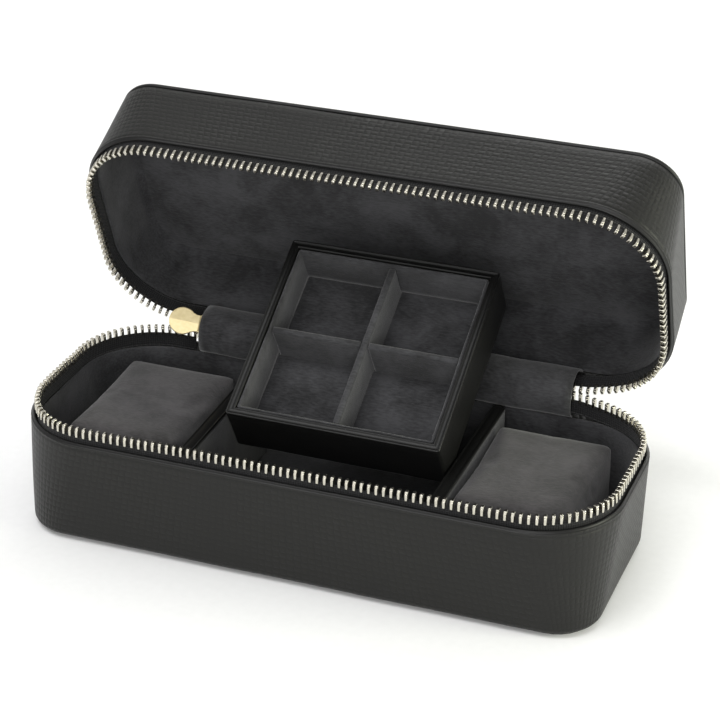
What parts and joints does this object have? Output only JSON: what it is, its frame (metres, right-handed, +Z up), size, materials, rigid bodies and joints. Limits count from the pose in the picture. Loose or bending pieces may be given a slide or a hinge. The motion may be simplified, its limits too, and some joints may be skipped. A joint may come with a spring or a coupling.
{
  "type": "watch box",
  "caption": "Zip-round watch box: leather-covered base and hinged lid, suede-lined wells with watch cushions, and a lift-out tray split into compartments.",
  "frame": {"origin": "middle of the bottom panel, on the surface the box stands on", "axes": "+Z up, +X along the long side to the right, the zipped front faces -Y and the hinge is at +Y"},
  "size_m": [0.23, 0.1338, 0.1472],
  "materials": {
    "black_leather": "embossed with a fine basket grid, satin",
    "smooth_leather": "smooth, semi-matt",
    "dark_suede": "napped microsuede, matt",
    "cushion_suede": "napped microsuede, matt",
    "zip_webbing": "woven tape, matt",
    "zip_metal": "bright polished",
    "pull_metal": "pale satin plate"
  },
  "bodies": {
    "base": {"base_bottom_panel": "black_leather", "base_shell": "black_leather", "base_lining": "dark_suede", "base_floor_pad": "dark_suede", "base_zip_tape": "zip_webbing", "base_zip_chain": "zip_metal", "left_divider": "dark_suede", "left_divider_cap": "smooth_leather", "right_divider": "dark_suede", "right_divider_cap": "smooth_leather", "hinge_spine": "black_leather", "hinge_strip": "dark_suede"},
    "lid": {"lid_shell": "black_leather", "lid_top_panel": "black_leather", "lid_piping": "smooth_leather", "lid_lining": "dark_suede", "lid_top_pad": "dark_suede", "lid_zip_tape": "zip_webbing", "lid_zip_chain": "zip_metal"},
    "slider": {"slider_inner_plate": "pull_metal", "slider_outer_plate": "pull_metal", "slider_post": "pull_metal", "slider_staple": "pull_metal"},
    "pull": {"zip_pull": "pull_metal"},
    "tray": {"tray_shell": "smooth_leather", "tray_pad": "dark_suede", "tray_lining": "dark_suede", "tray_long_divider": "dark_suede", "tray_left_divider": "dark_suede", "tray_right_divider": "dark_suede"},
    "left_cushion_body": {"left_cushion": "cushion_suede"},
    "right_cushion_body": {"right_cushion": "cushion_suede"}
  },
  "joints": [
    {"name": "lid_hinge", "type": "hinge", "parent": "base", "child": "lid", "pos_m": [0, 0.0493, 0.0452], "axis": [-1, 0, 0], "range_deg": [-68.9, 31.1], "deforming": ["hinge_spine", "hinge_strip"]},
    {"name": "tray_swing", "type": "hinge", "parent": "lid", "child": "tray", "pos_m": [0.0068, 0.01708, 0.07783], "axis": [1, 0, 0], "range_deg": [-99.5, 45]},
    {"name": "slider_lean", "type": "hinge", "parent": "base", "child": "slider", "pos_m": [0, 0.0493, 0.0452], "axis": [-1, 0, 0], "range_deg": [-34.45, 15.55]},
    {"name": "pull_swing", "type": "hinge", "parent": "slider", "child": "pull", "pos_m": [-0.0735, 0.04435, 0.05284], "axis": [0, 0.5657, 0.8246], "range_deg": [-10, 45]},
    {"name": "left_cushion_lift", "type": "slide", "parent": "base", "child": "left_cushion_body", "axis": [0, 0, 1], "range_m": [0, 0.038]},
    {"name": "right_cushion_lift", "type": "slide", "parent": "base", "child": "right_cushion_body", "axis": [0, 0, 1], "range_m": [0, 0.038]}
  ],
  "couplings": [
    {"joint": "tray_swing", "follows": "lid_hinge", "ratio": 1.4427},
    {"joint": "slider_lean", "follows": "lid_hinge", "ratio": 0.5}
  ]
}
